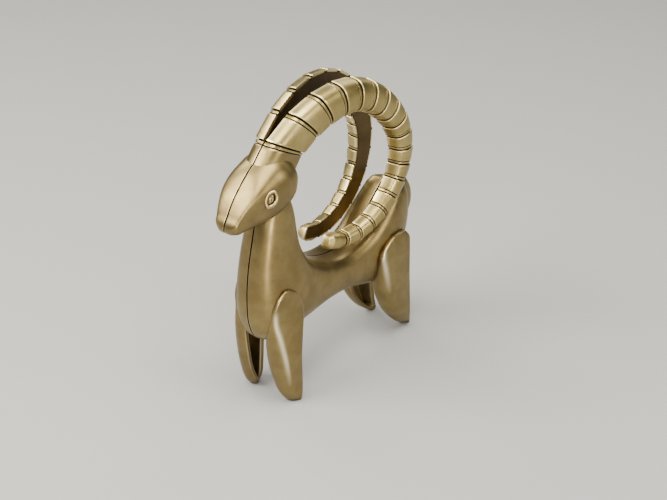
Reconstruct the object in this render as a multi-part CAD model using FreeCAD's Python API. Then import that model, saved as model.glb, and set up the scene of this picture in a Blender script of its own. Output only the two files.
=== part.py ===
import FreeCAD, Part
import math
import os

Vector = FreeCAD.Vector

# A standing brass ibex, cast as two mirrored halves that meet on the plane x = 0.
# The goat looks along -Y, its left side is +X, and its four soles stand on z = 0.
# Every function builds the left side; the right side is its mirror image.

# ---- overall layout, mm ----
ring_centre_y = 11.4          # centre of the circle that the horns and the saddle share
ring_centre_z = 144.9
inside_margin = 5.0           # how far cutting solids run past what they cut
centring = 0.98               # moves the finished goat along Y, so that the origin is under its middle

# ---- horns ----
ring_radius = 57.0            # outer radius of the horn circle
crown_dip = 1.3               # how much flatter the horn is between its rear and its top
base_rise = 23.4              # how far the horn root stands outside that circle
root_angle = 151.4            # where the first ring starts, degrees above the rear horizontal
rise_power = 2.9              # how late the horn leaves the circle on its way to the root
tip_angle = -116.0            # where the horn ends
ring_count = 18               # rings on each horn, the tip piece included
first_pitch = 16.1            # angle taken by the first ring, degrees
last_pitch = 12.5             # angle taken by the last ring before the tip, but for the stretch
stretched_rings = 5           # the last rings before the tip are a little longer
stretch = 1.15                # by this angle each, degrees
thickness_level = 17.4        # horn thickness in the side view where the angle is 0
thickness_per_degree = 0.062
root_swell = 7.0              # extra thickness at the root
swell_from = 80.0
horn_depth = 12.4             # sideways depth of the horn over its thick half
tip_depth = 8.0
flat_offset = 13.0            # x of the flat inner face where the angle is 0
root_closing = 12.3           # how far that face comes in towards x = 0 at the root
tip_closing = 6.0             # and at the tip
horn_square = 0.60            # squareness of the round side, 0.45 is an ellipse
groove_depth_root = 2.0
groove_depth_tip = 1.2
groove_width_root = 2.9
groove_width_tip = 2.9
lip = 0.5                     # the rings stop this far short of the flat inner face
ring_flare = 0.35             # each ring is this much thicker at its root end
tenon_turn = 3.5              # degrees of horn core buried in the collar
collar_turn = 12.0            # degrees of horn taken by the collar, most of it on the head
collar_shrink = 0.5
collar_flare = 3.0            # how much thicker the collar is at its foot
tip_cap_turn = 2.0            # degrees between the end of the core and the end of the tip

# ---- head: stations along the axis from the muzzle to the back of the skull ----
muzzle_y = -95.7
muzzle_z = 136.5
head_tilt = 33.9              # degrees between that axis and the ground
# distance along the axis, lowest, highest, half width, squareness below and above
head_stations = (
    (-0.9, -1.5, 2.2, 5.0, 0.60, 0.66),
    (0.8, -3.4, 3.9, 7.4, 0.64, 0.76),
    (7.0, -8.0, 7.2, 9.9, 0.64, 0.90),
    (14.0, -12.6, 10.3, 12.1, 0.62, 0.92),
    (29.0, -21.0, 14.0, 17.2, 0.57, 0.74),
    (41.0, -24.5, 15.0, 18.8, 0.54, 0.57),
    (51.0, -22.5, 12.8, 18.0, 0.52, 0.52),
    (58.0, -15.0, 7.8, 13.8, 0.50, 0.50),
    (61.0, -9.0, 3.4, 7.5, 0.50, 0.50),
)

# ---- eyes ----
eye_along = 34.0              # place of the eye on the head axis
eye_above = -3.9
eye_length = 12.8
eye_width = 9.2
eye_rim = 2.4                 # width of the raised rim
eye_proud = 1.5               # height of the rim over the head
eyeball_proud = 1.0
eye_turn = 62.0               # slope of the long axis of the eye, degrees
eye_forward = 28.0            # how far the eyes look forward, degrees
eye_upward = 10.0

# ---- body: stations that turn about the ring centre, from the neck to the rump ----
# angle, saddle radius, belly radius, half width
body_stations = (
    (180.0, 56.0, 75.0, 12.0),
    (189.0, 54.2, 81.2, 13.8),
    (198.0, 54.6, 88.2, 14.8),
    (207.0, 57.0, 98.6, 16.0),
    (216.0, 60.5, 111.0, 17.8),
    (224.0, 62.8, 122.5, 19.3),
    (230.0, 64.5, 126.5, 19.8),
    (236.0, 64.8, 118.0, 19.4),
    (243.0, 65.0, 108.0, 18.6),
    (253.0, 64.9, 97.5, 18.0),
    (264.0, 64.6, 93.2, 17.8),
    (274.0, 63.8, 95.4, 18.0),
    (283.0, 62.4, 102.5, 18.8),
    (291.0, 61.0, 107.5, 19.6),
    (299.0, 59.4, 107.0, 20.0),
    (307.0, 58.6, 100.5, 19.4),
    (314.5, 58.6, 94.0, 18.2),
    (321.0, 59.4, 87.5, 16.6),
    (326.0, 60.6, 82.0, 14.6),
    (329.6, 63.0, 76.5, 10.8),
    (331.2, 66.0, 72.5, 6.0),
)
saddle_square = 0.70          # squareness of the section on the saddle side
belly_square = 0.58
body_wall = 3.0
hollow_from = 1               # first and last stations that the hollow takes
hollow_to = 18

# ---- legs: stations up from the sole ----
# height, then (x, y) of the four corners: inner front, crest, outer rear, inner rear
front_leg_stations = (
    (0.0, (13.0, -56.8), (19.6, -57.0), (22.6, -51.8), (15.4, -50.2)),
    (7.0, (10.2, -61.2), (21.4, -60.4), (23.4, -51.4), (12.4, -50.8)),
    (17.5, (9.6, -65.6), (22.4, -62.6), (23.6, -51.4), (10.6, -51.6)),
    (33.6, (8.6, -69.6), (22.4, -65.4), (23.4, -51.4), (9.6, -51.6)),
    (52.5, (8.8, -71.0), (20.2, -68.8), (22.4, -48.8), (9.6, -50.0)),
    (66.0, (10.0, -69.0), (17.8, -71.2), (21.4, -46.8), (10.4, -47.6)),
    (76.0, (12.6, -66.4), (18.2, -70.4), (21.0, -49.4), (12.0, -49.4)),
    (82.6, (15.2, -63.6), (19.0, -66.8), (20.4, -53.8), (15.0, -53.8)),
    (85.8, (17.2, -61.4), (19.4, -63.2), (19.8, -58.8), (17.0, -58.8)),
)
rear_leg_stations = (
    (0.0, (11.6, 70.2), (16.6, 70.8), (18.4, 74.4), (12.6, 75.4)),
    (7.0, (12.0, 60.8), (20.0, 62.4), (20.8, 71.2), (12.0, 73.2)),
    (17.5, (12.0, 50.4), (22.2, 54.0), (23.0, 68.2), (11.4, 70.8)),
    (33.6, (11.2, 41.6), (23.6, 45.0), (24.2, 66.0), (10.6, 69.0)),
    (50.4, (11.2, 37.4), (23.8, 40.2), (24.4, 65.0), (10.2, 67.4)),
    (62.0, (12.6, 38.0), (23.8, 37.2), (24.3, 65.0), (11.4, 66.6)),
    (70.0, (13.8, 42.0), (23.4, 35.6), (23.8, 65.4), (12.4, 66.4)),
    (76.0, (15.4, 48.0), (22.8, 39.4), (23.2, 65.2), (14.4, 66.0)),
    (80.8, (17.6, 54.4), (21.8, 48.6), (22.2, 61.4), (16.6, 62.0)),
)
leg_wall = 2.4
rear_rim = 1.6                # extra thickness of the rear wall
front_bow = 2.6               # outward bow of the front face, where it is widest
side_bow = 0.7                # and of the outer and rear faces
pocket_floor = 4.5            # height of the bottom of the hollow in each leg
pocket_top = 50.0

# ---- tail ----
# height, then rearmost y, depth, half width
tail_stations = (
    (74.0, 88.0, 3.0, 1.2),
    (77.0, 91.4, 7.0, 2.4),
    (83.0, 94.8, 13.0, 3.4),
    (91.0, 95.6, 15.0, 3.8),
    (99.0, 93.2, 15.0, 3.4),
    (105.0, 89.0, 12.0, 2.4),
    (107.5, 86.4, 9.0, 1.2),
)


def smooth_edge(points):
    """One spline through the points."""
    curve = Part.BSplineCurve()
    curve.interpolate(Points=points)
    return curve.toShape()


def round_side(low, high, width, low_square, high_square, place):
    """One smooth curve round the side of a section, held by six poles.

    It starts at low and ends at high, square to the flat side at both ends, and bulges
    sideways by width. A squareness of 0.45 is an ellipse and 0.75 a rounded box.
    """
    middle = (low + high) / 2
    poles = [
        place(0, low),
        place(width * low_square, low),
        place(width, middle + (low - middle) * low_square),
        place(width, middle + (high - middle) * high_square),
        place(width * high_square, high),
        place(0, high),
    ]
    curve = Part.BSplineCurve()
    curve.buildFromPoles(poles, False, 3)
    return curve.toShape()


def closed(curve):
    """The wire of a round side and its straight flat side."""
    first = curve.Vertexes[0].Point
    last = curve.Vertexes[-1].Point
    return Part.Wire([curve, Part.makeLine(last, first)])


# ---------------------------------------------------------------- horns

def ring_angles():
    """Angles of the grooves between the rings, from the root to the tip."""
    angles = [root_angle]
    for number in range(ring_count - 1):
        share = number / (ring_count - 2)
        pitch = first_pitch + (last_pitch - first_pitch) * share
        if number >= ring_count - 1 - stretched_rings:
            pitch += stretch
        angles.append(angles[-1] - pitch)
    return angles


def horn_thickness(angle):
    swell = max(0.0, (angle - swell_from) / (root_angle - swell_from))
    return thickness_level + thickness_per_degree * angle + root_swell * swell ** 1.3


def horn_depth_at(angle):
    if angle > 0:
        return horn_depth
    return horn_depth - (horn_depth - tip_depth) * (angle / tip_angle) ** 1.2


def flat_x(angle):
    """x of the flat inner face of the horn."""
    if angle > 0:
        return flat_offset - root_closing * (angle / root_angle) ** 2
    return flat_offset - tip_closing * (angle / tip_angle) ** 1.5


def outward(angle):
    """Unit vector from the ring centre, in the side view."""
    turn = math.radians(angle)
    return Vector(0, math.cos(turn), math.sin(turn))


def outer_radius(angle):
    """Distance of the back of the horn from the ring centre."""
    rise = base_rise * max(0.0, angle / root_angle) ** rise_power
    quarter = min(1.0, max(0.0, angle / 90))
    return ring_radius + rise - crown_dip * math.sin(math.pi * quarter) ** 2


def horn_middle(angle):
    """Middle of the horn in the side view."""
    radius = outer_radius(angle) - horn_thickness(angle) / 2
    return Vector(0, ring_centre_y, ring_centre_z) + outward(angle) * radius


def horn_section(angle, flat, depth, thickness):
    """A D-shaped wire across the horn: a flat inner side and a rounded outer side."""
    centre = horn_middle(angle)
    normal = outward(angle)

    def place(sideways, across):
        return centre + normal * across + Vector(flat + sideways, 0, 0)

    return closed(round_side(-thickness / 2, thickness / 2, depth, horn_square, horn_square, place))


def along_horn(angle, root_value, tip_value):
    share = (root_angle - angle) / (root_angle - tip_angle)
    return root_value + (tip_value - root_value) * share


def core_section(angle):
    groove = along_horn(angle, groove_depth_root, groove_depth_tip)
    depth = horn_depth_at(angle) - groove
    thickness = horn_thickness(angle) - 2 * groove
    return horn_section(angle, flat_x(angle), depth, thickness)


def ring_section(angle, extra):
    depth = horn_depth_at(angle) - lip + extra
    thickness = horn_thickness(angle) + 2 * extra
    return horn_section(angle, flat_x(angle) + lip, depth, thickness)


def groove_turn(angle):
    """Half the width of a groove, as degrees of turn."""
    width = along_horn(angle, groove_width_root, groove_width_tip)
    radius = outer_radius(angle) - horn_thickness(angle) / 2
    return math.degrees(width / 2 / radius)


def horn_core():
    """The continuous bar inside the rings, seen in the grooves and on the flat inner side."""
    angles = [root_angle + tenon_turn] + ring_angles() + [tip_angle + tip_cap_turn]
    wires = [core_section(angle) for angle in angles]
    return Part.makeLoft(wires, True, True)


def horn_rings(core):
    """The separate rings, each a straight tapering drum wrapped round the core."""
    starts = ring_angles()
    ends = starts[1:] + [None]
    rings = []
    for start, end in zip(starts, ends):
        first = start - groove_turn(start)
        if end is None:
            rings.append(horn_tip(first).cut(core))
            continue
        last = end + groove_turn(end)
        wires = [ring_section(first, ring_flare), ring_section(last, 0.0)]
        rings.append(Part.makeLoft(wires, True, True).cut(core))
    return rings


def horn_tip(first):
    """The long last ring: it swells a little, then closes in a bevelled end."""
    middle = first - 0.35 * (first - tip_angle)
    shoulder = tip_angle + 3.5
    wires = [
        ring_section(first, -0.5),
        ring_section(middle, 0.5),
        ring_section(shoulder, 0.2),
        ring_section(tip_angle, -1.2),
    ]
    return Part.makeLoft(wires, True, True)


def horn_collar(head, core):
    """The wide plain collar between the head and the first ring, meeting its twin on the seam."""
    wires = []
    start = groove_turn(root_angle)
    for turn in (start, (start + collar_turn) / 2, collar_turn):
        angle = root_angle + turn
        flare = collar_flare * (turn - start) / (collar_turn - start)
        depth = horn_depth_at(root_angle) + flat_x(root_angle) - collar_shrink
        thickness = horn_thickness(root_angle) - collar_shrink + flare
        wires.append(horn_section(angle, 0.0, depth, thickness))
    collar = Part.makeLoft(wires, True, True)
    return collar.cut(head).cut(core)


# ---------------------------------------------------------------- head

def head_point(along, above, sideways):
    tilt = math.radians(head_tilt)
    y = muzzle_y + along * math.cos(tilt) - above * math.sin(tilt)
    z = muzzle_z + along * math.sin(tilt) + above * math.cos(tilt)
    return Vector(sideways, y, z)


def head_half():
    """The left half of the wedge-shaped head."""
    wires = []
    for along, low, high, half_width, low_square, high_square in head_stations:
        def place(sideways, above):
            return head_point(along, above, sideways)

        wires.append(closed(round_side(low, high, half_width, low_square, high_square, place)))
    return Part.makeLoft(wires, True, False)


def eye_frame(head):
    """Centre on the skin of the head, and the outward, long and cross directions."""
    yaw = math.radians(eye_forward)
    rise = math.radians(eye_upward)
    outward = Vector(math.cos(yaw) * math.cos(rise), -math.sin(yaw) * math.cos(rise), math.sin(rise))
    inside = head_point(eye_along, eye_above, 4.0)
    ray = Part.makeLine(inside, inside + outward * 40)
    skin = ray.common(head).Vertexes
    centre = max((vertex.Point for vertex in skin), key=lambda point: point.x)
    level = Vector(0, 0, 1).cross(outward).normalize()
    upright = outward.cross(level)
    slope = math.radians(eye_turn)
    long_way = level * math.cos(slope) + upright * math.sin(slope)
    cross_way = outward.cross(long_way)
    return centre, outward, long_way, cross_way


def almond_face(centre, long_way, cross_way, length, width):
    """A pointed oval: two arcs between the corners of the eye."""
    first = centre - long_way * (length / 2)
    last = centre + long_way * (length / 2)
    upper = Part.Arc(first, centre + cross_way * (width / 2), last).toShape()
    lower = Part.Arc(last, centre - cross_way * (width / 2), first).toShape()
    return Part.Face(Part.Wire([upper, lower]))


def eye_pieces(head):
    """The raised almond rim and the ball inside it."""
    centre, outward, long_way, cross_way = eye_frame(head)
    back = centre - outward * inside_margin
    outer = almond_face(back, long_way, cross_way, eye_length, eye_width)
    inner = almond_face(back, long_way, cross_way, eye_length - 2.4 * eye_rim, eye_width - 2 * eye_rim)
    rim = outer.extrude(outward * (inside_margin + eye_proud))
    rim = rim.makeFillet(0.8, [edge for edge in rim.Edges if is_front_edge(edge, centre, outward)])
    rim = rim.cut(inner.extrude(outward * (inside_margin + 2 * eye_proud)))
    ball_face = almond_face(back, long_way, cross_way, eye_length - 2.4 * eye_rim, eye_width - 2 * eye_rim)
    ball = ball_face.extrude(outward * (inside_margin + eyeball_proud))
    dome_radius = eye_width
    dome = Part.makeSphere(dome_radius, centre + outward * (eyeball_proud - dome_radius))
    return rim.cut(head), ball.common(dome).cut(head)


def is_front_edge(edge, centre, outward):
    """True for the edges of the raised front face of the rim."""
    heights = [(vertex.Point - centre).dot(outward) for vertex in edge.Vertexes]
    return min(heights) > eye_proud / 2


# ---------------------------------------------------------------- body

def body_point(turn, radius, sideways):
    y = ring_centre_y + radius * math.cos(turn)
    z = ring_centre_z + radius * math.sin(turn)
    return Vector(sideways, y, z)


def body_half(stations, wall):
    """The left half of the body, through rounded-box sections that turn about the ring centre.

    With a wall it is the hollow, that much smaller all round.
    """
    wires = []
    for angle, saddle, belly, half_width in stations:
        turn = math.radians(angle)

        def place(sideways, radius):
            return body_point(turn, radius, sideways)

        side = round_side(saddle + wall, belly - wall, half_width - wall, saddle_square, belly_square, place)
        wires.append(closed(side))
    return Part.makeLoft(wires, True, False)


def leg_section(station, inset, inner_shift):
    """Four bowed sides; the crest and the outer rear corner stay crisp."""
    height, inner_front, crest, outer_rear, inner_rear = station
    rear_inset = inset + rear_rim if inset > 0 else 0.0
    corners = [
        Vector(inner_front[0] - inner_shift, inner_front[1] + inset * 1.2, height),
        Vector(crest[0] - inset, crest[1] + inset, height),
        Vector(outer_rear[0] - inset, outer_rear[1] - rear_inset, height),
        Vector(inner_rear[0] - inner_shift, inner_rear[1] - rear_inset, height),
    ]
    bows = (front_bow, side_bow, side_bow, 0.0)
    edges = []
    for number in range(4):
        first = corners[number]
        last = corners[(number + 1) % 4]
        along = last - first
        outward = Vector(along.y, -along.x, 0).normalize()
        side = 1 if outward.dot((first + last) * 0.5 - sum_of(corners) * 0.25) > 0 else -1
        middle = (first + last) * 0.5 + outward * (side * bows[number] * min(1.0, along.Length / 10))
        edges.append(smooth_edge([first, middle, last]))
    return Part.Wire(edges)


def sum_of(vectors):
    total = Vector(0, 0, 0)
    for vector in vectors:
        total = total + vector
    return total


def station_at(stations, height):
    """The leg corners at any height, between two stations."""
    for low, high in zip(stations, stations[1:]):
        if low[0] <= height <= high[0]:
            break
    share = (height - low[0]) / (high[0] - low[0])
    corners = []
    for first, last in zip(low[1:], high[1:]):
        x = first[0] + (last[0] - first[0]) * share
        y = first[1] + (last[1] - first[1]) * share
        corners.append((x, y))
    return (height, *corners)


def leg(stations, body):
    """A blade-shaped leg, hollow and open towards the seam, laid against the body."""
    outside = Part.makeLoft([leg_section(station, 0.0, 0.0) for station in stations], True, False)
    heights = [pocket_floor]
    heights += [station[0] for station in stations if pocket_floor < station[0] < pocket_top]
    heights += [pocket_top]
    hollow_wires = []
    for height in heights:
        hollow_wires.append(leg_section(station_at(stations, height), leg_wall, inside_margin))
    hollow = Part.makeLoft(hollow_wires, True, False)
    return outside.cut(body).cut(hollow)


def tail_half():
    """The left half of a short tail that lies against the rump on the seam."""
    wires = []
    for height, rear, depth, half_width in tail_stations:
        def place(sideways, y):
            return Vector(sideways, y, height)

        wires.append(closed(round_side(rear - depth, rear, half_width, 0.45, 0.45, place)))
    return Part.makeLoft(wires, True, False)


# ---------------------------------------------------------------- assembly

def mirrored(shape):
    return shape.mirror(Vector(0, 0, 0), Vector(1, 0, 0))


def build():
    """All pieces by name."""
    head = head_half()
    body = body_half(body_stations, 0.0).cut(head)
    hollow = body_half(body_stations[hollow_from:hollow_to], body_wall)
    core = horn_core().cut(head)
    rim, ball = eye_pieces(head)
    left = {
        "body": body.cut(hollow),
        "head": head,
        "horn_collar": horn_collar(head, core),
        "horn_core": core,
        "eye_rim": rim,
        "eyeball": ball,
        "front_leg": leg(front_leg_stations, body),
        "rear_leg": leg(rear_leg_stations, body),
        "tail": tail_half().cut(body),
    }
    for number, ring in enumerate(horn_rings(core), start=1):
        left["horn_ring_%02d" % number] = ring
    pieces = {}
    for name, shape in left.items():
        shape.translate(Vector(0, centring, 0))
        pieces[name + "_left"] = shape
        pieces[name + "_right"] = mirrored(shape)
    return pieces


def write(pieces):
    os.makedirs("parts", exist_ok=True)
    for name, shape in pieces.items():
        shape.exportStep("parts/%s.step" % name)


write(build())
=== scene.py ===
import math

import bmesh
import bpy
import numpy as np
from mathutils import Matrix, Vector


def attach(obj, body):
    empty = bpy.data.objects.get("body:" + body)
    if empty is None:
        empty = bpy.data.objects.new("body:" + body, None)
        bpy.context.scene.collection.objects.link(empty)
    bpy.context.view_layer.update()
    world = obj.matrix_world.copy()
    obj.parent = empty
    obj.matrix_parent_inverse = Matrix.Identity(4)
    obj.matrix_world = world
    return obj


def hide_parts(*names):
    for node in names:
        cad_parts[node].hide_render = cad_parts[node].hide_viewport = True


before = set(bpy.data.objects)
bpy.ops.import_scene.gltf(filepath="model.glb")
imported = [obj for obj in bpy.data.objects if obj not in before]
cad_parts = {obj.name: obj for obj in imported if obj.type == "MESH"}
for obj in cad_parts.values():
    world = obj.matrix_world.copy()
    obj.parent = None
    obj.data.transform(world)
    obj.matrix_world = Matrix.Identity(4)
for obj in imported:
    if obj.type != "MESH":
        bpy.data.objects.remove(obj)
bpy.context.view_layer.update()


# Every length below is in mm, in the row's frame: the ibex looks along -Y, its left side is +X,
# and its soles stand on z = 0. Meshes are scaled to metres when they are made.
MM = 0.001
SIDES = (("left", 1), ("right", -1))
CENTRING = 0.98
RING_CENTRE = (11.4 + CENTRING, 144.9)

# ---- horns: angles in degrees round RING_CENTRE, from the root over the crown to the tip ----
RING_RADIUS = 57.0          # outer radius of the horn beyond the crown
CROWN_DIP = 1.3             # how much lower it runs halfway from the root to the crown
BASE_RISE = 23.4            # how much further out it is at the root
RISE_POWER = 2.9
ROOT_ANGLE = 151.4
TIP_ANGLE = -116.0
RING_COUNT = 18             # the long tip piece included
FIRST_PITCH = 16.1          # angle taken by the first ring
LAST_PITCH = 12.5           # and by the last one, but for the stretch
STRETCHED_RINGS = 5         # the last rings before the tip are longer
STRETCH = 1.15              # by this angle each
GROOVE_WIDTH_ROOT = 2.9
GROOVE_WIDTH_TIP = 2.9
GROOVE_DEPTH_ROOT = 2.0
GROOVE_DEPTH_TIP = 1.2
HORN_THICKNESS = 17.4       # at angle 0, and what it gains per degree towards the root
THICKNESS_SLOPE = 0.062
SWELL_FROM = 80.0           # the horn swells from this angle to the root, by this much
ROOT_SWELL = 7.0
SWELL_POWER = 1.3
HORN_DEPTH = 12.4           # from the flat inner side out, and how much less it is at the tip
DEPTH_LOSS = 4.4
DEPTH_POWER = 1.2
FLAT_OFFSET = 13.0          # from the seam to the flat inner side at angle 0
ROOT_CLOSING = 12.3         # how much nearer the seam it is at the root, and at the tip
TIP_CLOSING = 6.0
CLOSING_POWER = 1.5
HORN_SQUARE = 0.60
LIP = 0.5                   # how far the rings stay back from the flat inner side
RING_FLARE = 0.35           # how much prouder a ring is at its root end
TIP_MIDDLE = 0.35           # the tip piece: where it is thickest, as a share of its length
TIP_SHOULDER = 3.5          # and where its end bevel starts, degrees before the end
TIP_SIZES = (-0.5, 0.5, 0.2, -1.2)  # its size past the plain horn: root end, middle, shoulder, end
CORE_ROOT = 3.5             # how far the core runs on into the collar, degrees
CORE_TIP = 2.0              # and how far it stops short of the tip
RING_COVER = 0.6            # how far the groove floor runs on under the rings, degrees
COLLAR_TURN = 12.0
COLLAR_SHRINK = 0.5
COLLAR_FLARE = 3.0

# ---- head: distance along the axis, lowest, highest, half width, squareness below and above ----
MUZZLE = (-95.7 + CENTRING, 136.5)
HEAD_TILT = math.radians(33.9)
HEAD = (
    (-0.9, -1.5, 2.2, 5.0, 0.60, 0.66),
    (0.8, -3.4, 3.9, 7.4, 0.64, 0.76),
    (7.0, -8.0, 7.2, 9.9, 0.64, 0.90),
    (14.0, -12.6, 10.3, 12.1, 0.62, 0.92),
    (29.0, -21.0, 14.0, 17.2, 0.57, 0.74),
    (41.0, -24.5, 15.0, 18.8, 0.54, 0.57),
    (51.0, -22.5, 12.8, 18.0, 0.52, 0.52),
    (58.0, -15.0, 7.8, 13.8, 0.50, 0.50),
    (61.0, -9.0, 3.4, 7.5, 0.50, 0.50),
)

# ---- body: angle, saddle radius, belly radius, half width ----
BODY = (
    (180.0, 56.0, 75.0, 12.0),
    (189.0, 54.2, 81.2, 13.8),
    (198.0, 54.6, 88.2, 14.8),
    (207.0, 57.0, 98.6, 16.0),
    (216.0, 60.5, 111.0, 17.8),
    (224.0, 62.8, 122.5, 19.3),
    (230.0, 64.5, 126.5, 19.8),
    (236.0, 64.8, 118.0, 19.4),
    (243.0, 65.0, 108.0, 18.6),
    (253.0, 64.9, 97.5, 18.0),
    (264.0, 64.6, 93.2, 17.8),
    (274.0, 63.8, 95.4, 18.0),
    (283.0, 62.4, 102.5, 18.8),
    (291.0, 61.0, 107.5, 19.6),
    (299.0, 59.4, 107.0, 20.0),
    (307.0, 58.6, 100.5, 19.4),
    (314.5, 58.6, 94.0, 18.2),
    (321.0, 59.4, 87.5, 16.6),
    (326.0, 60.6, 82.0, 14.6),
    (329.6, 63.0, 76.5, 10.8),
    (331.2, 66.0, 72.5, 6.0),
)
BODY_END = BODY[-1][0]
SADDLE_SQUARE = 0.70
BELLY_SQUARE = 0.58

# ---- legs: height, then x, y of inner front, crest, outer rear, inner rear ----
FRONT_LEG = (
    (0.0, 13.0, -56.8, 19.6, -57.0, 22.6, -51.8, 15.4, -50.2),
    (7.0, 10.2, -61.2, 21.4, -60.4, 23.4, -51.4, 12.4, -50.8),
    (17.5, 9.6, -65.6, 22.4, -62.6, 23.6, -51.4, 10.6, -51.6),
    (33.6, 8.6, -69.6, 22.4, -65.4, 23.4, -51.4, 9.6, -51.6),
    (52.5, 8.8, -71.0, 20.2, -68.8, 22.4, -48.8, 9.6, -50.0),
    (66.0, 10.0, -69.0, 17.8, -71.2, 21.4, -46.8, 10.4, -47.6),
    (76.0, 12.6, -66.4, 18.2, -70.4, 21.0, -49.4, 12.0, -49.4),
    (82.6, 15.2, -63.6, 19.0, -66.8, 20.4, -53.8, 15.0, -53.8),
    (85.8, 17.2, -61.4, 19.4, -63.2, 19.8, -58.8, 17.0, -58.8),
)
REAR_LEG = (
    (0.0, 11.6, 70.2, 16.6, 70.8, 18.4, 74.4, 12.6, 75.4),
    (7.0, 12.0, 60.8, 20.0, 62.4, 20.8, 71.2, 12.0, 73.2),
    (17.5, 12.0, 50.4, 22.2, 54.0, 23.0, 68.2, 11.4, 70.8),
    (33.6, 11.2, 41.6, 23.6, 45.0, 24.2, 66.0, 10.6, 69.0),
    (50.4, 11.2, 37.4, 23.8, 40.2, 24.4, 65.0, 10.2, 67.4),
    (62.0, 12.6, 38.0, 23.8, 37.2, 24.3, 65.0, 11.4, 66.6),
    (70.0, 13.8, 42.0, 23.4, 35.6, 23.8, 65.4, 12.4, 66.4),
    (76.0, 15.4, 48.0, 22.8, 39.4, 23.2, 65.2, 14.4, 66.0),
    (80.8, 17.6, 54.4, 21.8, 48.6, 22.2, 61.4, 16.6, 62.0),
)
LEG_WALL = 2.4
REAR_RIM = 1.6              # extra wall at the rear edge
FRONT_BOW = 2.6             # how far the front face and the other faces bow out
SIDE_BOW = 0.7
POCKET = (4.5, 50.0)        # heights of the floor and the ceiling of the hollow
POCKET_ROUND = 1.6          # height over which the hollow reaches its full depth
FRONT_FACES, SIDE_FACES, REAR_FACES, RIM_FACES = 16, 26, 14, 6
REAR_POCKET_FACES, WALL_POCKET_FACES, FRONT_POCKET_FACES, FRONT_RIM_FACES = 10, 20, 10, 5
CREST_SOFTNESS = 6.0        # columns beside the crest that are rounded, and that carry the painted highlight
CREST_HIGHLIGHT_SPREAD = 1.9
CREST_HIGHLIGHT_HEIGHTS = {"front_leg": (14.0, 74.0), "rear_leg": (38.0, 75.0)}  # heights of the painted crest highlight
CREST_HIGHLIGHT_FADE = (22.0, 5.0)   # heights over which it fades in from below and out above

# ---- tail: height, rearmost y, depth, half width ----
TAIL_SQUARE = 0.45
TAIL = (
    (74.0, 88.0, 3.0, 1.2),
    (77.0, 91.4, 7.0, 2.4),
    (83.0, 94.8, 13.0, 3.4),
    (91.0, 95.6, 15.0, 3.8),
    (99.0, 93.2, 15.0, 3.4),
    (105.0, 89.0, 12.0, 2.4),
    (107.5, 86.4, 9.0, 1.2),
)

# ---- eye ----
EYE_CENTRE = np.array((16.85, -72.14 + CENTRING, 154.79))
EYE_OUT = np.array((0.8695, -0.4623, 0.1736))
EYE_LONG = np.array((0.0850, 0.4865, 0.8695))
EYE_CROSS = np.array((-0.4865, -0.7413, 0.4623))
EYE_RIM = (                 # length, width and height of the outlines, from the outside in
    (12.8, 9.2, -3.0), (12.8, 9.2, 0.1), (12.6, 9.0, 0.7), (12.1, 8.5, 1.15), (11.3, 7.8, 1.42),
    (10.3, 6.9, 1.5), (9.2, 6.0, 1.38), (8.2, 5.2, 1.05), (7.5, 4.7, 0.5), (7.1, 4.45, -0.8),
)
EYEBALL_SIZE = (6.9, 4.1)
EYEBALL = (                 # share of the size and height; the last three rows are the pupil's dent
    (1.0, -2.0), (1.0, -0.1), (0.9, 0.25), (0.78, 0.55), (0.62, 0.80), (0.46, 0.95), (0.36, 1.0),
    (0.30, 0.95), (0.25, 0.55), (0.10, 0.45),
)
PUPIL_ROW = 7
PUPIL_RADIUS = 2.0
EYE_POINTS = 21

# ---- looks of the casting ----
HORN_POINTS = 26            # points round one side of a section, without those of the seam
HEAD_POINTS = 44
BODY_POINTS = 56
TAIL_POINTS = 24
SEAM_WIDTH = 0.60           # half the width of the open seam line, and its depth
SEAM_DEPTH = 0.90
SEAM_STEPS = (0.0, 0.5, 0.74, 1.0, 1.3, 2.2)  # where the seam's points are, in seam widths
SEAM_WALL = 0.26            # share of the seam width taken by its sloping wall
RING_CLEARANCE = 0.04       # keeps the rings inside their CAD bodies
EDGE = 0.55                 # rounding of the ring edges
EDGE_ROWS = ((0.0, -1.0), (0.12, -0.62), (0.4, -0.22))  # its rows: inset and drop, in EDGE
RING_SHARES = (0.0, 0.06, 0.14, 0.38, 0.62, 0.86, 0.94)  # rows along a ring, close at its ends
GROOVE_GAP = 0.45           # the dark line on the root side of the bead in a groove
OPEN_GAP = 0.85             # the wider one on the tip side
BEAD_DROP = 0.45            # how far the bead stays below the rings, and what its edge falls away
BEAD_EDGE = 0.15
BEAD_ROUND = (0.08, 0.22)   # its two rows at each edge, degrees in from the gap
EDGE_WEAR_AND_HIGHLIGHT = (0.522, 0.57)        # convexity at which the brass starts to turn pale, as wear and painted highlight, and is fully so
CREASE_REACH = 0.0030       # how near another surface must be for painted shade, in metres
# painted shade: occlusion values over which creases darken to the shade colour
CREASE_SHADE_RAMP = (0.28, 0.82)


# ------------------------------------------------------------------ maths

def smooth_table(table, at):
    """Rows of a table at any place along its first column, on one smooth curve."""
    table = np.array(table, float)
    x, y = table[:, 0], table[:, 1:]
    slope = np.diff(y, axis=0) / np.diff(x)[:, None]
    tangent = np.empty_like(y)
    tangent[0], tangent[-1] = slope[0], slope[-1]
    share = (np.diff(x)[1:] / (x[2:] - x[:-2]))[:, None]
    tangent[1:-1] = slope[:-1] * share + slope[1:] * (1 - share)
    at = np.atleast_1d(np.array(at, float))
    k = np.clip(np.searchsorted(x, at, "right") - 1, 0, len(x) - 2)
    h = (x[k + 1] - x[k])[:, None]
    t = ((at - x[k])[:, None]) / h
    return (
        (2 * t**3 - 3 * t**2 + 1) * y[k]
        + (t**3 - 2 * t**2 + t) * h * tangent[k]
        + (3 * t**2 - 2 * t**3) * y[k + 1]
        + (t**3 - t**2) * h * tangent[k + 1]
    )


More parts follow.
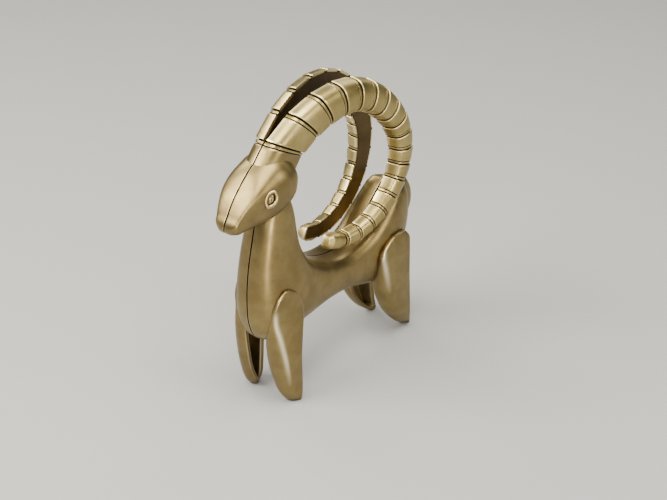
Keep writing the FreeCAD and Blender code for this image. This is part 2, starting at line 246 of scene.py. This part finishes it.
def spline_weights(places):
    """Weights of six poles of a clamped cubic at places between 0 and 3."""
    knots = np.array([0, 0, 0, 0, 1, 2, 3, 3, 3, 3], float)
    places = np.clip(np.array(places, float), 0, 3 - 1e-9)
    level = [((knots[i] <= places) & (places < knots[i + 1])).astype(float) for i in range(9)]
    for degree in (1, 2, 3):
        nxt = []
        for i in range(len(level) - 1):
            left = knots[i + degree] - knots[i]
            right = knots[i + degree + 1] - knots[i + 1]
            value = np.zeros_like(places)
            if left > 0:
                value += (places - knots[i]) / left * level[i]
            if right > 0:
                value += (knots[i + degree + 1] - places) / right * level[i + 1]
            nxt.append(value)
        level = nxt
    return np.stack(level, axis=1)


def round_side(low, high, width, low_square, high_square, seam, count):
    """Points (sideways, across) round one side of a section, with the seam's open edge at both ends."""
    middle = (low + high) / 2
    poles = np.array([
        (0, low),
        (width * low_square, low),
        (width, middle + (low - middle) * low_square),
        (width, middle + (high - middle) * high_square),
        (width * high_square, high),
        (0, high),
    ])
    if not seam:
        return spline_weights(np.linspace(0, 3, count)) @ poles
    steps = np.array(SEAM_STEPS) * SEAM_WIDTH
    start = steps / (3 * width * low_square)
    end = 3 - steps[::-1] / (3 * width * high_square)
    start, end = np.minimum(start, 0.4), np.maximum(end, 2.6)
    places = np.concatenate([start, np.linspace(start[-1], end[0], count)[1:-1], end])
    points = spline_weights(places) @ poles
    drop = SEAM_DEPTH * np.clip((1 - points[:, 0] / SEAM_WIDTH) / SEAM_WALL, 0, 1)
    half = len(points) // 2
    points[:half, 1] += np.sign(high - low) * drop[:half]
    points[half:, 1] -= np.sign(high - low) * drop[half:]
    return points


def drawn_in(distance, amount, reach):
    """How much a section is drawn in at a distance from the end of its piece, to round the edge."""
    return amount * (1 - min(1.0, max(0.0, distance) / reach)) ** 2


def seam_faces(around):
    """Which faces of a piece with rows from round_side are the walls of the open seam."""
    return lambda i, j: j < 3 or around - 5 < j < around - 1


# ------------------------------------------------------------------ meshes

def grid_piece(name, rows, side, materials, slot_at=None, sharp=50.0):
    """A closed tube through rows of points, with flat ends, on the left (1) or right (-1) side.

    slot_at(row, column) gives the material slot of each face along the tube, and edges that turn by
    more than sharp degrees stay crisp.
    """
    rows = np.array(rows, float)
    count, around, _ = rows.shape
    points = rows.reshape(-1, 3).copy()
    points[:, 0] *= side
    faces = []
    slots = []
    for i in range(count - 1):
        for j in range(around):
            k = (j + 1) % around
            a, b = i * around + j, i * around + k
            faces.append((a, b, b + around, a + around))
            slots.append(int(slot_at(i, j)) if slot_at else 0)
    faces.append(tuple(range(around))[::-1])
    faces.append(tuple((count - 1) * around + j for j in range(around)))
    slots += [0, 0]
    mesh = bpy.data.meshes.new(name)
    mesh.from_pydata([tuple(p) for p in points * MM], [], faces)
    for material in materials:
        mesh.materials.append(material)
    mesh.polygons.foreach_set("material_index", slots)
    return finished(name, mesh, sharp)


def finished(name, mesh, sharp):
    """Outward normals, smooth shading with crisp edges, and a place on the CAD body."""
    work = bmesh.new()
    work.from_mesh(mesh)
    bmesh.ops.recalc_face_normals(work, faces=work.faces)
    work.to_mesh(mesh)
    work.free()
    mesh.polygons.foreach_set("use_smooth", [True] * len(mesh.polygons))
    mesh.set_sharp_from_angle(angle=math.radians(sharp))
    mesh.update()
    piece = bpy.data.objects.new(name, mesh)
    bpy.context.scene.collection.objects.link(piece)
    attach(piece, "root")
    return piece


def stands_for(piece, node):
    """The piece is shown instead of its CAD node, which is hidden."""
    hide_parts(node)


# ------------------------------------------------------------------ materials

def link(tree, a, b):
    tree.links.new(a, b)


def brass(name, bright, brown, shade_colour, rough, wear_and_highlight_lift=0.0):
    """Cast brass: slow tone changes, fine grain, pale edges that are partly wear and partly painted
    highlight, a painted highlight on leg crests, and painted shade in creases.

    The last argument is how much paler the worn and highlighted edges are; at 0 the piece has none.
    """
    material = bpy.data.materials.new(name)
    material.use_nodes = True
    tree = material.node_tree
    shader = tree.nodes["Principled BSDF"]
    shader.inputs["Metallic"].default_value = 1.0
    where = tree.nodes.new("ShaderNodeTexCoord").outputs["Object"]

    def noise(scale, detail, roughness=0.55):
        node = tree.nodes.new("ShaderNodeTexNoise")
        node.inputs["Scale"].default_value = scale
        node.inputs["Detail"].default_value = detail
        node.inputs["Roughness"].default_value = roughness
        link(tree, where, node.inputs["Vector"])
        return node.outputs["Fac"]

    def ramp(source, low, high, low_colour, high_colour):
        node = tree.nodes.new("ShaderNodeValToRGB")
        node.color_ramp.elements[0].position = low
        node.color_ramp.elements[1].position = high
        node.color_ramp.elements[0].color = (*low_colour, 1)
        node.color_ramp.elements[1].color = (*high_colour, 1)
        link(tree, source, node.inputs["Fac"])
        return node.outputs["Color"]

    def mix(kind, amount, first, second):
        node = tree.nodes.new("ShaderNodeMix")
        node.data_type = "RGBA"
        node.blend_type = kind
        if isinstance(amount, float):
            node.inputs["Factor"].default_value = amount
        else:
            link(tree, amount, node.inputs["Factor"])
        for socket, value in ((node.inputs["A"], first), (node.inputs["B"], second)):
            if isinstance(value, tuple):
                socket.default_value = (*value, 1)
            else:
                link(tree, value, socket)
        return node.outputs["Result"]

    tone = ramp(noise(26.0, 3.0), 0.38, 0.66, brown, bright)
    smudges = ramp(noise(95.0, 5.0, 0.65), 0.42, 0.60, (0.86, 0.84, 0.80), (1, 1, 1))
    colour = mix("MULTIPLY", 1.0, tone, smudges)
    # paler brass on convex edges, partly wear and partly painted highlight, and on the painted crest
    # highlight
    if wear_and_highlight_lift > 0:
        wear_and_sheen_edges = tree.nodes.new("ShaderNodeNewGeometry").outputs["Pointiness"]
        # painted highlight: the bright stripe stored along the legs' crests
        crest_highlight = tree.nodes.new("ShaderNodeAttribute")
        crest_highlight.attribute_name = "crest_highlight"
        wear_and_highlight_mask = tree.nodes.new("ShaderNodeMath")
        wear_and_highlight_mask.operation = "MAXIMUM"
        link(tree, ramp(wear_and_sheen_edges, *EDGE_WEAR_AND_HIGHLIGHT, (0, 0, 0), (1, 1, 1)), wear_and_highlight_mask.inputs[0])
        link(tree, crest_highlight.outputs["Fac"], wear_and_highlight_mask.inputs[1])
        wear_and_highlight_colour = tuple(1.5 * channel + wear_and_highlight_lift for channel in bright)
        colour = mix("MIX", wear_and_highlight_mask.outputs["Value"], colour, wear_and_highlight_colour)
    # painted shade: the colour darkens towards the shade colour where other surfaces are near, by ambient
    # occlusion
    crease = tree.nodes.new("ShaderNodeAmbientOcclusion")
    crease.samples = 8
    crease.inputs["Distance"].default_value = CREASE_REACH
    crease_shade = ramp(crease.outputs["AO"], *CREASE_SHADE_RAMP, (1, 1, 1), (0, 0, 0))
    colour = mix("MIX", crease_shade, colour, shade_colour)
    link(tree, colour, shader.inputs["Base Color"])

    spread = tree.nodes.new("ShaderNodeMapRange")
    spread.inputs["From Min"].default_value = 0.3
    spread.inputs["From Max"].default_value = 0.7
    spread.inputs["To Min"].default_value = rough - 0.05
    spread.inputs["To Max"].default_value = rough + 0.09
    link(tree, noise(60.0, 4.0), spread.inputs["Value"])
    link(tree, spread.outputs["Result"], shader.inputs["Roughness"])
    normal = None
    for strength, distance, relief in (
        (0.06, 0.0006, noise(170.0, 4.0)), (0.05, 0.00012, noise(1400.0, 3.0, 0.6)),
    ):
        bump = tree.nodes.new("ShaderNodeBump")
        bump.inputs["Strength"].default_value = strength
        bump.inputs["Distance"].default_value = distance
        link(tree, relief, bump.inputs["Height"])
        if normal:
            link(tree, normal, bump.inputs["Normal"])
        normal = bump.outputs["Normal"]
    link(tree, normal, shader.inputs["Normal"])
    return material


body_brass = brass("body_brass", (0.265, 0.204, 0.087), (0.205, 0.151, 0.062),
                   (0.045, 0.027, 0.009), 0.37, 0.28)
ring_brass = brass("horn_ring_brass", (0.42, 0.34, 0.14), (0.345, 0.268, 0.102),
                   (0.05, 0.03, 0.01), 0.36, 0.12)
# painted shade and painted dark reflection: the flat inner side of each horn core is near-black brown
flat_shade_brass = brass("horn_core_brass", (0.12, 0.08, 0.028), (0.075, 0.046, 0.014),
                   (0.02, 0.01, 0.003), 0.40)
bead_brass = brass("horn_bead_brass", (0.40, 0.32, 0.135), (0.33, 0.255, 0.10),
                   (0.05, 0.03, 0.01), 0.34)
# painted shade: the inside of the leg's hollow is made a little darker than the body brass
hollow_brass = brass("leg_hollow_brass", (0.24, 0.18, 0.08), (0.19, 0.14, 0.06),
                     (0.05, 0.03, 0.01), 0.45)
eye_brass = brass("eye_brass", (0.38, 0.30, 0.14), (0.30, 0.23, 0.10),
                  (0.04, 0.024, 0.008), 0.32, 0.1)
# painted shade: near-black brass for the walls of the open seams, the floors of the horn grooves and the
# pupil's dent
shade_brass = brass("painted_shade_brass", (0.07, 0.042, 0.015), (0.04, 0.023, 0.009),
                (0.02, 0.012, 0.005), 0.50)


# ------------------------------------------------------------------ horns

def outward(angle):
    """Away from the ring centre at an angle."""
    turn = math.radians(angle)
    return np.array((0.0, math.cos(turn), math.sin(turn)))


def horn_thickness(angle):
    swell = max(0.0, (angle - SWELL_FROM) / (ROOT_ANGLE - SWELL_FROM))
    return HORN_THICKNESS + THICKNESS_SLOPE * angle + ROOT_SWELL * swell ** SWELL_POWER


def horn_depth(angle):
    if angle > 0:
        return HORN_DEPTH
    return HORN_DEPTH - DEPTH_LOSS * (angle / TIP_ANGLE) ** DEPTH_POWER


def flat_x(angle):
    """Distance of the horn's flat inner side from the seam."""
    if angle > 0:
        return FLAT_OFFSET - ROOT_CLOSING * (angle / ROOT_ANGLE) ** 2
    return FLAT_OFFSET - TIP_CLOSING * (angle / TIP_ANGLE) ** CLOSING_POWER


def outer_radius(angle):
    rise = BASE_RISE * max(0.0, angle / ROOT_ANGLE) ** RISE_POWER
    quarter = min(1.0, max(0.0, angle / 90))
    return RING_RADIUS + rise - CROWN_DIP * math.sin(math.pi * quarter) ** 2


def along_horn(angle, root, tip):
    """A value that goes evenly from root to tip."""
    share = (ROOT_ANGLE - angle) / (ROOT_ANGLE - TIP_ANGLE)
    return root + (tip - root) * share


def horn_row(angle, flat, depth, thickness, seam=False):
    """Points round a D-shaped section of the horn; the last point and the first end its flat side."""
    radius = outer_radius(angle) - horn_thickness(angle) / 2
    centre = np.array((0.0, *RING_CENTRE)) + outward(angle) * radius
    side = round_side(-thickness / 2, thickness / 2, depth, HORN_SQUARE, HORN_SQUARE, seam, HORN_POINTS)
    return centre + side[:, 1:] * outward(angle) + (side[:, :1] + flat) * (1.0, 0.0, 0.0)


def ring_angles():
    """Angles of the grooves, from the root to the tip."""
    angles = [ROOT_ANGLE]
    for number in range(RING_COUNT - 1):
        share = number / (RING_COUNT - 2)
        pitch = FIRST_PITCH + (LAST_PITCH - FIRST_PITCH) * share
        if number >= RING_COUNT - 1 - STRETCHED_RINGS:
            pitch += STRETCH
        angles.append(angles[-1] - pitch)
    return angles


def degrees_for(angle, width):
    """A width along the horn's middle line, as degrees of turn."""
    return math.degrees(width / (outer_radius(angle) - horn_thickness(angle) / 2))


def groove_turn(angle):
    """Half the angle that a groove takes."""
    return degrees_for(angle, along_horn(angle, GROOVE_WIDTH_ROOT, GROOVE_WIDTH_TIP) / 2)


def ring_row(angle, extra):
    extra -= RING_CLEARANCE
    depth, thickness = horn_depth(angle) - LIP + extra, horn_thickness(angle) + 2 * extra
    return horn_row(angle, flat_x(angle) + LIP, depth, thickness)


def core_row(angle, drop):
    depth, thickness = horn_depth(angle) - drop, horn_thickness(angle) - 2 * drop
    return horn_row(angle, flat_x(angle), depth, thickness)


def ring_piece(name, sections, side):
    """A ring through its sections (angle, extra size), with rounded ends."""
    (first, first_extra), (last, last_extra) = sections[0], sections[-1]
    rows = [
        ring_row(first - degrees_for(first, inset * EDGE), first_extra + drop * EDGE)
        for inset, drop in EDGE_ROWS
    ]
    knots = [ring_row(first - degrees_for(first, EDGE), first_extra)]
    knots += [ring_row(angle, extra) for angle, extra in sections[1:-1]]
    knots.append(ring_row(last + degrees_for(last, EDGE), last_extra))
    for one, other in zip(knots, knots[1:]):
        rows += [one + (other - one) * share for share in RING_SHARES]
    rows.append(knots[-1])
    rows += [
        ring_row(last + degrees_for(last, inset * EDGE), last_extra + drop * EDGE)
        for inset, drop in reversed(EDGE_ROWS)
    ]
    ring = grid_piece(name, rows, side, [ring_brass], sharp=38.0)
    stands_for(ring, name)


def core_rows():
    """Rows of the core with the bead in each groove, and which rows are on a bead."""
    near, far = BEAD_ROUND
    rows, on_bead = [core_row(ROOT_ANGLE + CORE_ROOT, GROOVE_DEPTH_ROOT)], [False]
    for angle in ring_angles():
        depth = along_horn(angle, GROOVE_DEPTH_ROOT, GROOVE_DEPTH_TIP)
        half = groove_turn(angle)
        root_end = half - degrees_for(angle, GROOVE_GAP)
        tip_end = -half + degrees_for(angle, OPEN_GAP)
        for offset, drop, bead in (
            (half + RING_COVER, depth, False), (root_end, depth, False),
            (root_end - near, BEAD_DROP + BEAD_EDGE, True), (root_end - far, BEAD_DROP, True),
            (tip_end + far, BEAD_DROP, True), (tip_end + near, BEAD_DROP + BEAD_EDGE, True),
            (tip_end, depth, False), (-half - RING_COVER, depth, False),
        ):
            rows.append(core_row(angle + offset, drop))
            on_bead.append(bead)
    rows.append(core_row(TIP_ANGLE + CORE_TIP, GROOVE_DEPTH_TIP))
    on_bead.append(False)
    return rows, on_bead


def make_horns():
    angles = ring_angles()
    rows, on_bead = core_rows()

    def core_slot(i, j):
        """The flat side is painted near-black for shade and a dark reflection, the beads are bright and the
        grooves get painted shade.
        """
        if j == HORN_POINTS - 1:
            return 0
        return 2 if on_bead[i] and on_bead[i + 1] else 1

    for side_name, side in SIDES:
        name = "horn_core_" + side_name
        core = grid_piece(name, rows, side, [flat_shade_brass, shade_brass, bead_brass], core_slot, sharp=35.0)
        stands_for(core, name)
        for number, start in enumerate(angles, start=1):
            first = start - groove_turn(start)
            if number < RING_COUNT:
                sections = [(first, RING_FLARE), (angles[number] + groove_turn(angles[number]), 0.0)]
            else:
                middle = first - TIP_MIDDLE * (first - TIP_ANGLE)
                places = (first, middle, TIP_ANGLE + TIP_SHOULDER, TIP_ANGLE)
                sections = list(zip(places, TIP_SIZES))
            ring_piece("horn_ring_%02d_%s" % (number, side_name), sections, side)


def make_collar():
    """The plain collar under the first ring; its foot is hidden in the head."""
    depth = horn_depth(ROOT_ANGLE) + flat_x(ROOT_ANGLE) - COLLAR_SHRINK
    thickness = horn_thickness(ROOT_ANGLE) - COLLAR_SHRINK
    start = groove_turn(ROOT_ANGLE)
    for side_name, side in SIDES:
        rows = []
        for turn, shrink in ((0.0, 0.5), (0.04, 0.3), (0.15, 0.1), (0.4, 0.0)):
            angle = ROOT_ANGLE + start + turn
            rows.append(horn_row(angle, 0.0, depth - shrink, thickness - 2 * shrink, True))
        for share in np.linspace(0.08, 1.0, 12):
            turn = start + share * (COLLAR_TURN - start)
            rows.append(horn_row(ROOT_ANGLE + turn, 0.0, depth, thickness + COLLAR_FLARE * share, True))
        name = "horn_collar_" + side_name
        collar = grid_piece(name, rows, side, [body_brass, shade_brass], seam_faces(len(rows[0])), sharp=35.0)
        stands_for(collar, name)


# ------------------------------------------------------------------ head and eyes

def head_place(along, side):
    """Section points (sideways, above) at a distance along the head, in the frame."""
    y = MUZZLE[0] + along * math.cos(HEAD_TILT) - side[:, 1] * math.sin(HEAD_TILT)
    z = MUZZLE[1] + along * math.sin(HEAD_TILT) + side[:, 1] * math.cos(HEAD_TILT)
    return np.stack([side[:, 0], y, z], axis=1)


def make_head():
    front, back = HEAD[0][0], HEAD[-1][0]
    places = np.concatenate([(front, -0.75, -0.45), np.linspace(0.0, 60.4, 62), (60.8, back)])
    table = smooth_table(HEAD, places)
    for side_name, side in SIDES:
        rows = []
        for along, (low, high, width, low_square, high_square) in zip(places, table):
            shrink = drawn_in(min(along - front, back - along), 0.5, 0.5)
            section = round_side(
                low + shrink, high - shrink, width - shrink, low_square, high_square, True, HEAD_POINTS
            )
            rows.append(head_place(along, section))
        name = "head_" + side_name
        head = grid_piece(name, rows, side, [body_brass, shade_brass], seam_faces(len(rows[0])))
        stands_for(head, name)


def almond(length, width):
    """Points round a pointed oval, as shares of the long and cross directions."""
    half, rise = length / 2, width / 2
    radius = (half * half + rise * rise) / (2 * rise)
    spread = math.asin(half / radius)
    points = []
    for flip in (1, -1):
        for turn in np.linspace(-spread, spread, EYE_POINTS)[:-1]:
            along, cross = radius * math.sin(turn), radius * math.cos(turn) - radius + rise
            points.append((along * flip, cross * flip))
    return np.array(points)


def eye_place(points, height):
    """Outline points (along, across) at a height over the cheek, in the frame."""
    return EYE_CENTRE + points[:, :1] * EYE_LONG + points[:, 1:2] * EYE_CROSS + height * EYE_OUT


def make_eyes():
    oval = almond(*EYEBALL_SIZE)
    turn = np.arctan2(oval[:, 1], oval[:, 0])
    circle = np.stack([np.cos(turn), np.sin(turn)], axis=1) * PUPIL_RADIUS
    for side_name, side in SIDES:
        rows = [eye_place(almond(length, width), height) for length, width, height in EYE_RIM]
        name = "eye_rim_" + side_name
        stands_for(grid_piece(name, rows, side, [eye_brass]), name)
        rows = []
        for size, height in EYEBALL:
            outline = oval * size * min(1.0, size + 0.2) + circle * size * max(0.0, 0.8 - size)
            rows.append(eye_place(outline, height))
        name = "eyeball_" + side_name
        ball = grid_piece(name, rows, side, [eye_brass, shade_brass], lambda i, j: i >= PUPIL_ROW)
        stands_for(ball, name)


# ------------------------------------------------------------------ body, legs, tail

def body_row(angle, low, high, width):
    side = round_side(low, high, width, SADDLE_SQUARE, BELLY_SQUARE, True, BODY_POINTS)
    centre = np.array((0.0, *RING_CENTRE))
    return centre + side[:, 1:] * outward(angle) + side[:, :1] * (1.0, 0.0, 0.0)


def make_body():
    places = np.concatenate([
        np.arange(180.0, 318.0, 2.0), np.arange(318.0, BODY_END, 0.8), (BODY_END - 0.15, BODY_END),
    ])
    table = smooth_table(BODY, places)
    for side_name, side in SIDES:
        rows = []
        for angle, (low, high, width) in zip(places, table):
            shrink = drawn_in(BODY_END - angle, 1.1, 0.8)
            rows.append(body_row(angle, low + shrink, high - shrink, width - shrink))
        name = "body_" + side_name
        body = grid_piece(name, rows, side, [body_brass, shade_brass], seam_faces(len(rows[0])))
        stands_for(body, name)


def bowed(first, last, bow, middle, count):
    """Points from first to just before last, on an arc that bows away from the middle."""
    share = np.linspace(0, 1, count + 1)[:-1, None]
    along = last - first
    length = np.linalg.norm(along)
    away = np.array((along[1], -along[0])) / max(length, 1e-6)
    if np.dot(away, (first + last) / 2 - middle) < 0:
        away = -away
    return first + along * share + away * bow * min(1.0, length / 10) * 4 * share * (1 - share)


def near_crest(count, spread):
    """1 on the crest's column, falling to 0 over the columns beside it."""
    return np.exp(-((np.arange(count) - FRONT_FACES) / spread) ** 2)


def leg_row(height, numbers, deep, soft):
    """A C-shaped section: round the outside, then back through the hollow, which is deep or shut."""
    inner_front, crest, outer_rear, inner_rear = numbers.reshape(4, 2)
    middle = numbers.reshape(4, 2).mean(0)
    rear_wall = LEG_WALL + REAR_RIM
    front_rim = inner_front + (0, 1.2 * LEG_WALL)
    rear_rim = inner_rear - (0, rear_wall)
    seam = (front_rim + rear_rim) / 2
    reach = (np.array((outer_rear[0], crest[0])) - LEG_WALL - seam[0]) * deep
    far_rear = np.array((seam[0] + reach[0], outer_rear[1] - rear_wall))
    far_front = np.array((seam[0] + reach[1], crest[1] + LEG_WALL))
    loop = np.concatenate([
        bowed(inner_front, crest, FRONT_BOW, middle, FRONT_FACES),
        bowed(crest, outer_rear, SIDE_BOW, middle, SIDE_FACES),
        bowed(outer_rear, inner_rear, SIDE_BOW, middle, REAR_FACES),
        bowed(inner_rear, rear_rim, 0, middle, RIM_FACES),
        bowed(rear_rim, far_rear, 0, middle, REAR_POCKET_FACES),
        bowed(far_rear, far_front, 0, middle, WALL_POCKET_FACES),
        bowed(far_front, front_rim, 0, middle, FRONT_POCKET_FACES),
        bowed(front_rim, inner_front, 0, middle, FRONT_RIM_FACES),
    ])
    # two passes round every corner, then more that only soften the crest
    near = near_crest(len(loop), CREST_SOFTNESS)[:, None] * soft
    for share in [1.0] * 2 + [near] * 7:
        loop = loop + share * (0.25 * np.roll(loop, 1, 0) - 0.5 * loop + 0.25 * np.roll(loop, -1, 0))
    return np.column_stack([loop[:, 0], loop[:, 1] + CENTRING, np.full(len(loop), height)])


def leg_heights(top):
    """Heights of the rows, close together where the shape turns."""
    floor, ceiling = POCKET
    return np.concatenate([
        (0.0, 0.15, 0.5, 1.1),
        np.arange(2.0, floor, 0.8),
        np.linspace(floor, floor + POCKET_ROUND, 7),
        np.arange(floor + 2.6, ceiling - 2.0, 1.4),
        np.linspace(ceiling - POCKET_ROUND, ceiling, 6),
        np.arange(ceiling + 1.5, top - 1.2, 1.4),
        (top - 0.8, top - 0.3, top),
    ])


def leg_rows(table, heights):
    floor, ceiling = POCKET
    top = heights[-1]
    rows = []
    for height, numbers in zip(heights, smooth_table(table, heights)):
        rise = np.clip((height - floor) / POCKET_ROUND, 0, 1)
        fall = np.clip((ceiling - height) / POCKET_ROUND, 0, 1)
        deep = math.sqrt(1 - (1 - rise) ** 2) * math.sqrt(1 - (1 - fall) ** 2)
        row = leg_row(height, numbers, deep, np.clip((top - 8 - height) / 8, 0, 1))
        # the edges of the sole and of the top are rounded too, by scaling the row
        scale = 1 - drawn_in(height, 0.16, 1.1) - drawn_in(top - height, 0.10, 0.8)
        centre = row[: FRONT_FACES + SIDE_FACES + REAR_FACES, :2].mean(0)
        row[:, :2] = centre + (row[:, :2] - centre) * scale
        rows.append(row)
    return rows


def make_legs():
    floor, ceiling = POCKET
    rim_end = FRONT_FACES + SIDE_FACES + REAR_FACES + RIM_FACES
    pocket_end = rim_end + REAR_POCKET_FACES + WALL_POCKET_FACES + FRONT_POCKET_FACES
    for leg_name, table in (("front_leg", FRONT_LEG), ("rear_leg", REAR_LEG)):
        heights = leg_heights(table[-1][0])
        rows = leg_rows(table, heights)
        # painted highlight: a bright stripe down each leg's crest, stored on the mesh and read by the brass
        # material
        low, high = CREST_HIGHLIGHT_HEIGHTS[leg_name]
        fade_in = np.clip((heights - low) / CREST_HIGHLIGHT_FADE[0], 0, 1)
        fade_out = np.clip((high - heights) / CREST_HIGHLIGHT_FADE[1], 0, 1)
        across = near_crest(len(rows[0]), CREST_HIGHLIGHT_SPREAD)
        crest_highlight_weight = np.outer(fade_in * fade_out, across).ravel().astype(np.float32)

        def hollow(i, j, heights=heights):
            return floor < heights[i] < ceiling and rim_end < j < pocket_end - 1

        for side_name, side in SIDES:
            name = leg_name + "_" + side_name
            leg = grid_piece(name, rows, side, [body_brass, hollow_brass], hollow)
            leg.data.attributes.new("crest_highlight", "FLOAT", "POINT").data.foreach_set("value", crest_highlight_weight)
            stands_for(leg, name)


def make_tail():
    bottom, top = TAIL[0][0], TAIL[-1][0]
    places = np.concatenate([
        (bottom, bottom + 0.2, bottom + 0.6), np.linspace(75.2, 106.4, 34), (top - 0.6, top - 0.2, top),
    ])
    table = smooth_table(TAIL, places)
    for side_name, side in SIDES:
        rows = []
        for height, (rear, depth, width) in zip(places, table):
            shrink = drawn_in(min(height - bottom, top - height), 0.35, 0.7)
            across, along = round_side(
                rear - depth, rear - shrink, width - shrink, TAIL_SQUARE, TAIL_SQUARE, True, TAIL_POINTS
            ).T
            rows.append(np.column_stack([across, along + CENTRING, np.full(len(across), height)]))
        around = len(rows[0])
        name = "tail_" + side_name
        tail = grid_piece(name, rows, side, [body_brass, shade_brass], lambda i, j: around - 5 < j < around - 1)
        stands_for(tail, name)


make_horns()
make_collar()
make_head()
make_eyes()
make_body()
make_legs()
make_tail()


# ------------------------------------------------------------------ floor, light, camera

CAMERA_AZIMUTH = 38.99      # degrees
CAMERA_ELEVATION = 28.30
CAMERA_DISTANCE = 1120.0    # mm
CAMERA_SHIFT = (0.588, 70.413)
CAMERA_TARGET_Y = 8.6 + CENTRING
LENS = 86.35682
WARM = (1.0, 0.96, 0.87)
LAMP_AIM = (0.0, 0.0, 0.11)
FLOOR_COLOUR = (0.27, 0.27, 0.268, 1.0)
FLOOR_SIZE = 6.0            # half its side, in metres
SKY_COLOUR = (0.86, 0.88, 0.9, 1.0)
SKY_STRENGTH = 0.16
LAMPS = (                   # name, position in metres, width, height, watts, colour
    ("key", (-0.47, -0.88, 0.96), 0.95, 0.50, 41.0, WARM),
    ("top", (0.26, -0.12, 1.24), 1.00, 0.75, 35.0, WARM),
    ("front", (0.50, -1.02, 0.62), 0.35, 0.50, 8.0, WARM),
    ("left", (-1.00, 0.15, 1.00), 0.60, 0.50, 11.0, WARM),
    ("side", (1.15, 0.20, 0.50), 0.60, 0.50, 7.0, WARM),
    ("strip", (0.98, -0.66, 0.13), 0.12, 0.24, 9.0, (1.0, 0.95, 0.87)),
    ("rear", (-0.25, 1.00, 0.90), 0.70, 0.40, 5.0, (1.0, 1.0, 1.0)),
)


def make_floor():
    mesh = bpy.data.meshes.new("floor")
    far = FLOOR_SIZE
    corner_points = [(-far, -far, 0), (far, -far, 0), (far, far, 0), (-far, far, 0)]
    mesh.from_pydata(corner_points, [], [(0, 1, 2, 3)])
    floor = bpy.data.objects.new("floor", mesh)
    bpy.context.scene.collection.objects.link(floor)
    material = bpy.data.materials.new("floor")
    material.use_nodes = True
    shader = material.node_tree.nodes["Principled BSDF"]
    shader.inputs["Base Color"].default_value = FLOOR_COLOUR
    shader.inputs["Roughness"].default_value = 0.8
    shader.inputs["Specular IOR Level"].default_value = 0.2
    mesh.materials.append(material)


def softbox(name, position, width, height, watts, colour):
    """A rectangular studio lamp that faces the middle of the ibex."""
    light = bpy.data.lights.new(name, "AREA")
    light.shape = "RECTANGLE"
    light.size = width
    light.size_y = height
    light.energy = watts
    light.color = colour
    lamp = bpy.data.objects.new(name, light)
    lamp.location = position
    lamp.rotation_mode = "QUATERNION"
    lamp.rotation_quaternion = (Vector(LAMP_AIM) - Vector(position)).to_track_quat("-Z", "Y")
    bpy.context.scene.collection.objects.link(lamp)


def make_camera():
    azimuth, elevation = math.radians(CAMERA_AZIMUTH), math.radians(CAMERA_ELEVATION)
    level = math.cos(elevation)
    back = Vector((math.sin(azimuth) * level, -math.cos(azimuth) * level, math.sin(elevation)))
    right = Vector((math.cos(azimuth), math.sin(azimuth), 0))
    up = back.cross(right)
    data = bpy.data.cameras.new("camera")
    data.sensor_width = 36.0
    data.lens = LENS
    data.clip_start = 0.01
    camera = bpy.data.objects.new("camera", data)
    place = back * CAMERA_DISTANCE + right * CAMERA_SHIFT[0] + up * CAMERA_SHIFT[1]
    place += Vector((0, CAMERA_TARGET_Y, 0))
    camera.matrix_world = Matrix((
        (right.x, up.x, back.x, place.x * MM),
        (right.y, up.y, back.y, place.y * MM),
        (right.z, up.z, back.z, place.z * MM),
        (0, 0, 0, 1),
    ))
    bpy.context.scene.collection.objects.link(camera)
    bpy.context.scene.camera = camera


def make_sky():
    """An even, faint light from all round."""
    world = bpy.data.worlds.new("studio")
    bpy.context.scene.world = world
    world.use_nodes = True
    background = world.node_tree.nodes["Background"]
    background.inputs["Color"].default_value = SKY_COLOUR
    background.inputs["Strength"].default_value = SKY_STRENGTH


make_floor()
for lamp_numbers in LAMPS:
    softbox(*lamp_numbers)
make_sky()
make_camera()
